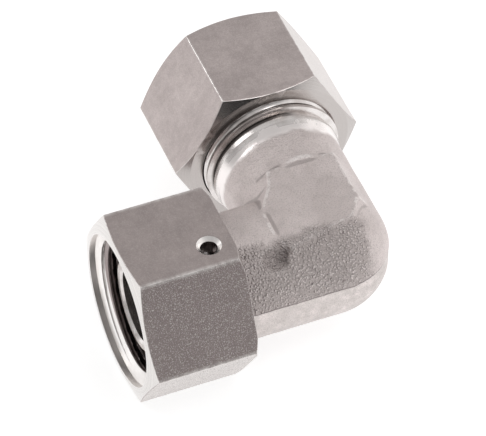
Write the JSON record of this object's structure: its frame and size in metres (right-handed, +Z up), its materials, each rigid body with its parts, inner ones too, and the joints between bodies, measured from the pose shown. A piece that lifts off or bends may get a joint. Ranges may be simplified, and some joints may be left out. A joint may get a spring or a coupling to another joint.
{
  "type": "90 degree swivel elbow fitting for hydraulic tube",
  "caption": "Stainless 90 degree hydraulic elbow: a union nut with cutting ring for tube on one arm, a swivel nut with sealed cone nose on the other.",
  "frame": {"origin": "where the axes of the two arms cross", "axes": "+Y along the tube arm towards its open end, -X along the swivel arm towards its open end, +Z up, square to both arms and to the upper nut flats"},
  "size_m": [0.0665, 0.0743, 0.036],
  "materials": {
    "forged_steel": "fine blasted forging, machined bright at the ends",
    "nut_steel": "satin, faintly brushed, with pickled grain",
    "ring_steel": "fine turned",
    "wire_steel": "smooth drawn",
    "seal_rubber": "smooth matte black"
  },
  "bodies": {
    "elbow": {"elbow_body": "forged_steel", "retaining_wire": "wire_steel", "o_ring": "seal_rubber"},
    "ring": {"cutting_ring": "ring_steel"},
    "union": {"union_nut": "nut_steel"},
    "swivel": {"swivel_nut": "nut_steel"}
  },
  "joints": [
    {"name": "swivel_turn", "type": "hinge", "parent": "elbow", "child": "swivel", "pos_m": [0, 0, 0], "axis": [-1, 0, 0], "continuous": true},
    {"name": "ring_slide", "type": "slide", "parent": "elbow", "child": "ring", "axis": [0, 1, 0], "range_m": [0, 0.006]},
    {"name": "nut_turn", "type": "hinge", "parent": "ring", "child": "union", "pos_m": [0, 0.0415, 0], "axis": [0, 1, 0], "range_deg": [0, 1080]}
  ],
  "couplings": [
    {"joint": "nut_turn", "follows": "ring_slide", "rad_per_m": 3141.6}
  ]
}
